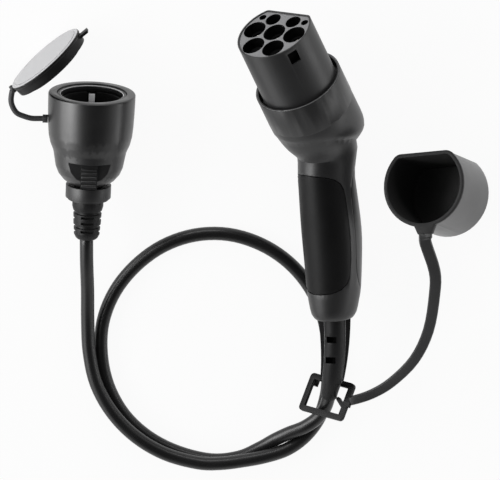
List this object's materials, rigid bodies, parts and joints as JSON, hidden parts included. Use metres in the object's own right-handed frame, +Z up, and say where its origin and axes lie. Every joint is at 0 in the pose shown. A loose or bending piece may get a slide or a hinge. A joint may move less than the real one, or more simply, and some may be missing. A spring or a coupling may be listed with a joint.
{
  "type": "ev charging adapter",
  "caption": "Charging adapter: a bent connector with a D-shaped nose and chambers, joined by a looped cable to a round earthed socket coupler with a lid; a tethered nose cap.",
  "frame": {"origin": "middle of the bounding box of everything but the cable, on the surface that the adapter lies on", "axes": "+Z up from the surface; +X from the socket coupler towards the connector and its cap; the coupler's mouth and the connector's nose point towards +Y"},
  "size_m": [0.3385, 0.3473, 0.0904],
  "materials": {
    "housing_gray": "matt, lightly grained",
    "cover_gray": "matt",
    "grip_black": "soft matt",
    "face_gray": "fine grain",
    "coupler_black": "satin",
    "insert_black": "matt",
    "lid_gray": "satin",
    "cap_rubber": "matt",
    "strap_rubber": "matt",
    "boot_rubber": "matt",
    "cable_rubber": "matt",
    "contact_metal": "plated",
    "steel": "bright",
    "resistor_body": "glazed"
  },
  "bodies": {
    "root": {"handle_housing": "housing_gray", "handle_cover": "cover_gray", "grip_pad": "grip_black", "nose_sleeve": "housing_gray", "contact_face": "face_gray", "contact_insulator": "face_gray", "contact_retainer": "insert_black", "contact_pe": "contact_metal", "contact_n": "contact_metal", "contact_l1": "contact_metal", "contact_cp": "contact_metal", "contact_pp": "contact_metal", "nose_seal": "strap_rubber", "coding_resistor": "resistor_body", "gun_cable_end": "cable_rubber", "cable_clamp": "insert_black", "clamp_screws": "steel", "gun_boot": "boot_rubber", "main_cable": "cable_rubber", "coupler_housing": "coupler_black", "mouth_ring": "face_gray", "socket_insert": "insert_black", "socket_contact_left": "contact_metal", "socket_contact_right": "contact_metal", "earth_bracket": "steel", "latch_tongue": "coupler_black", "gland_collar": "coupler_black", "coupler_boot": "boot_rubber", "coupler_cable_end": "cable_rubber", "coupler_clamp": "insert_black", "lid": "lid_gray", "lid_gasket": "strap_rubber", "lid_strap": "strap_rubber", "nose_cap": "cap_rubber", "cap_strap": "strap_rubber"}
  },
  "joints": []
}
